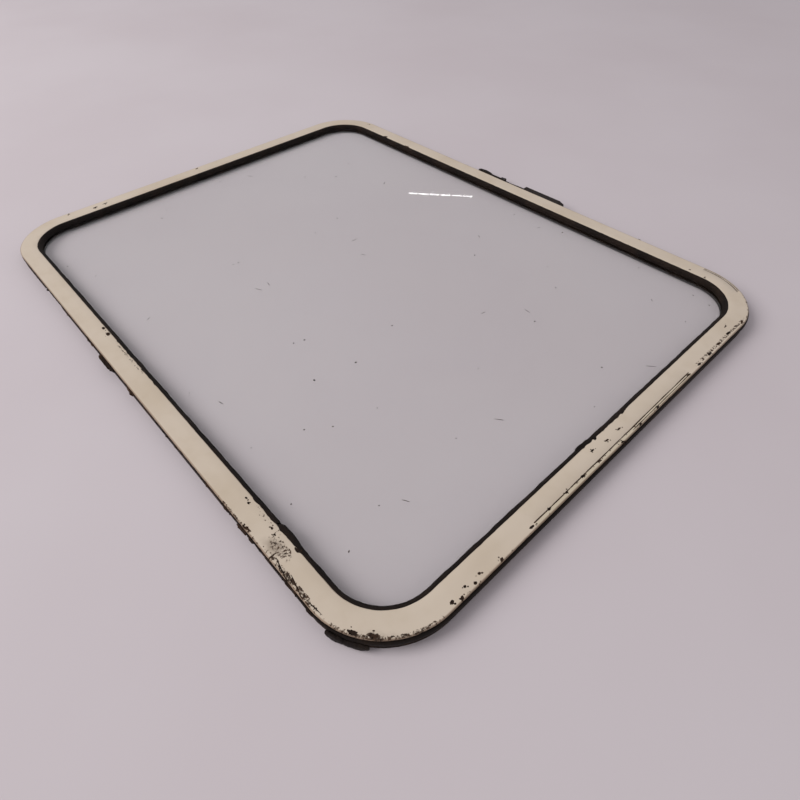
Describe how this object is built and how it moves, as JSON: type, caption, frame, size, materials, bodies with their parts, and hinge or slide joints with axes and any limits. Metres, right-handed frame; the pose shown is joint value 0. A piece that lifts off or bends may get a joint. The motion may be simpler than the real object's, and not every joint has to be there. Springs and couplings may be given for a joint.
{
  "type": "window sash with crank",
  "caption": "Steel-framed glazed window sash with round corners, a flat gear crank operator with a folding stay, and folding leaf hinges.",
  "frame": {"origin": "on the surface that the sash lies on, under the middle of its whole footprint", "axes": "+X along the long rails, +Y towards the rail with the crank operator, +Z out of the painted face"},
  "size_m": [0.708, 0.5706, 0.0145],
  "materials": {
    "painted_steel": "aged cream enamel",
    "rusty_steel": "rusted",
    "zinc_steel": "dull zinc",
    "black_steel": "worn black",
    "gear_steel": "greased",
    "brass": "dull",
    "black_rubber": "perished",
    "clear_glass": "clear",
    "grip_plastic": "worn"
  },
  "bodies": {
    "sash": {"face_pressing": "painted_steel", "rail_channel": "rusty_steel", "glass_pane": "clear_glass", "glazing_rubber": "black_rubber", "setting_blocks": "black_rubber", "outer_seal": "black_rubber", "joint_splice_plate": "rusty_steel", "operator_backing_plate": "rusty_steel", "operator_base_plate": "zinc_steel", "operator_screws": "zinc_steel", "operator_cover": "black_steel", "cover_rivets": "zinc_steel", "spindle_bush": "brass", "idler_post": "gear_steel", "stay_post": "gear_steel", "hinge_rivets": "zinc_steel", "sash_leaf_left": "zinc_steel", "hinge_pin_left": "zinc_steel", "hinge_bracket_left": "rusty_steel", "sash_leaf_right": "zinc_steel", "hinge_pin_right": "zinc_steel", "hinge_bracket_right": "rusty_steel"},
    "crank": {"drive_spindle": "gear_steel", "crank_arm": "black_steel", "crank_screw": "zinc_steel"},
    "idler": {"idler_gear": "gear_steel"},
    "stay": {"stay_gear": "gear_steel", "stay_arm": "zinc_steel", "stay_eye_bush": "brass"},
    "folding_grip": {"grip_fork": "black_steel", "grip_pin": "zinc_steel"},
    "sleeve": {"grip_sleeve": "grip_plastic"},
    "surround_hinge_left": {"surround_leaf_left": "zinc_steel"},
    "surround_hinge_right": {"surround_leaf_right": "zinc_steel"}
  },
  "joints": [
    {"name": "crank_turn", "type": "hinge", "parent": "sash", "child": "crank", "pos_m": [0.031, 0.2713, 0.0056], "axis": [0, 1, 0], "range_deg": [0, 400]},
    {"name": "idler_turn", "type": "hinge", "parent": "sash", "child": "idler", "pos_m": [0.037, 0.2713, 0.0056], "axis": [0, 1, 0], "range_deg": [-200, 0]},
    {"name": "stay_swing", "type": "hinge", "parent": "sash", "child": "stay", "pos_m": [0.043, 0.2713, 0.0056], "axis": [0, 1, 0], "range_deg": [0, 100]},
    {"name": "grip_fold", "type": "hinge", "parent": "crank", "child": "folding_grip", "pos_m": [-0.022, 0.2813, 0.0046], "axis": [0, 0, -1], "range_deg": [0, 90]},
    {"name": "grip_spin", "type": "hinge", "parent": "folding_grip", "child": "sleeve", "pos_m": [-0.044, 0.2813, 0.0046], "axis": [-1, 0, 0], "continuous": true},
    {"name": "hinge_left", "type": "hinge", "parent": "sash", "child": "surround_hinge_left", "pos_m": [-0.2, -0.2781, 0.00435], "axis": [-1, 0, 0], "range_deg": [0, 110]},
    {"name": "hinge_right", "type": "hinge", "parent": "sash", "child": "surround_hinge_right", "pos_m": [0.2, -0.2781, 0.00435], "axis": [-1, 0, 0], "range_deg": [0, 110]}
  ],
  "couplings": [
    {"joint": "idler_turn", "follows": "crank_turn", "ratio": -0.5},
    {"joint": "stay_swing", "follows": "crank_turn", "ratio": 0.25}
  ]
}
